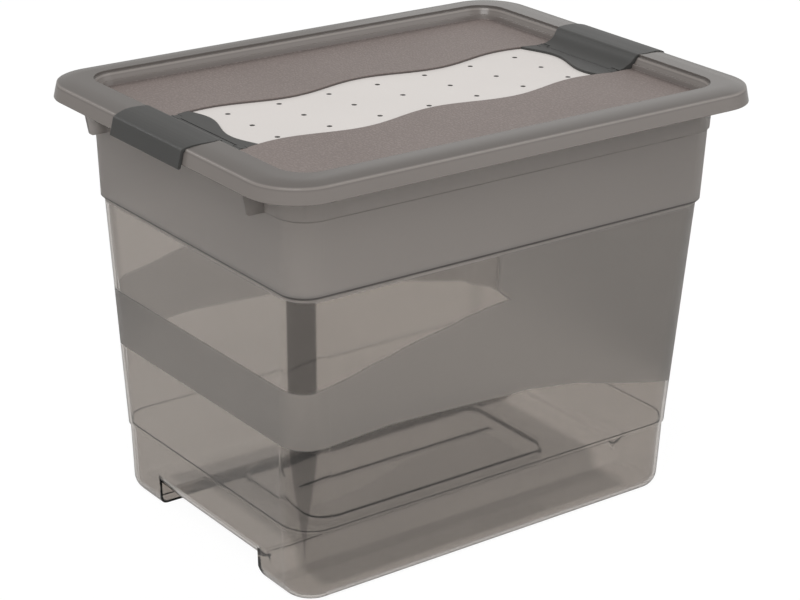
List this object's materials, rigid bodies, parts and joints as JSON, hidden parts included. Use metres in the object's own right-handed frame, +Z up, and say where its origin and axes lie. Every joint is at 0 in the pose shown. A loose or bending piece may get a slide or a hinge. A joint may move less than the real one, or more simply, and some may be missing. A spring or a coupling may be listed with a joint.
{
  "type": "storage bin with clip-on lid",
  "caption": "Tall tapered rectangular storage bin on two runners, with a flat rimmed lid, a pale wavy vented inlay strip and hinged end clips.",
  "frame": {"origin": "middle of the footprint, on the ground the runners stand on", "axes": "+Z up, +X along the long side towards the right-hand clip, +Y towards the back long side"},
  "size_m": [0.4016, 0.295, 0.2998],
  "materials": {
    "smoky_plastic": "translucent smoky warm grey polypropylene, glossy, with frosted waves and a fine matte upper band",
    "lid_plastic": "warm grey moulded plastic, satin rim and fine leather-like grain on the panel",
    "pale_plastic": "pale warm grey, fine matte grain",
    "clip_plastic": "dark grey, satin"
  },
  "bodies": {
    "tub": {"tub": "smoky_plastic"},
    "lid": {"lid": "lid_plastic", "wave_strip": "pale_plastic", "hinge_plate_left": "clip_plastic", "hinge_plate_right": "clip_plastic"},
    "clip_left": {"clip_left": "clip_plastic"},
    "clip_right": {"clip_right": "clip_plastic"}
  },
  "joints": [
    {"name": "lid_lift", "type": "slide", "parent": "tub", "child": "lid", "axis": [0, 0, 1], "range_m": [0, 0.12]},
    {"name": "clip_left_turn", "type": "hinge", "parent": "lid", "child": "clip_left", "pos_m": [-0.1545, 0, 0.2885], "axis": [0, 1, 0], "range_deg": [0, 90]},
    {"name": "clip_right_turn", "type": "hinge", "parent": "lid", "child": "clip_right", "pos_m": [0.1545, 0, 0.2885], "axis": [0, -1, 0], "range_deg": [0, 90]}
  ]
}
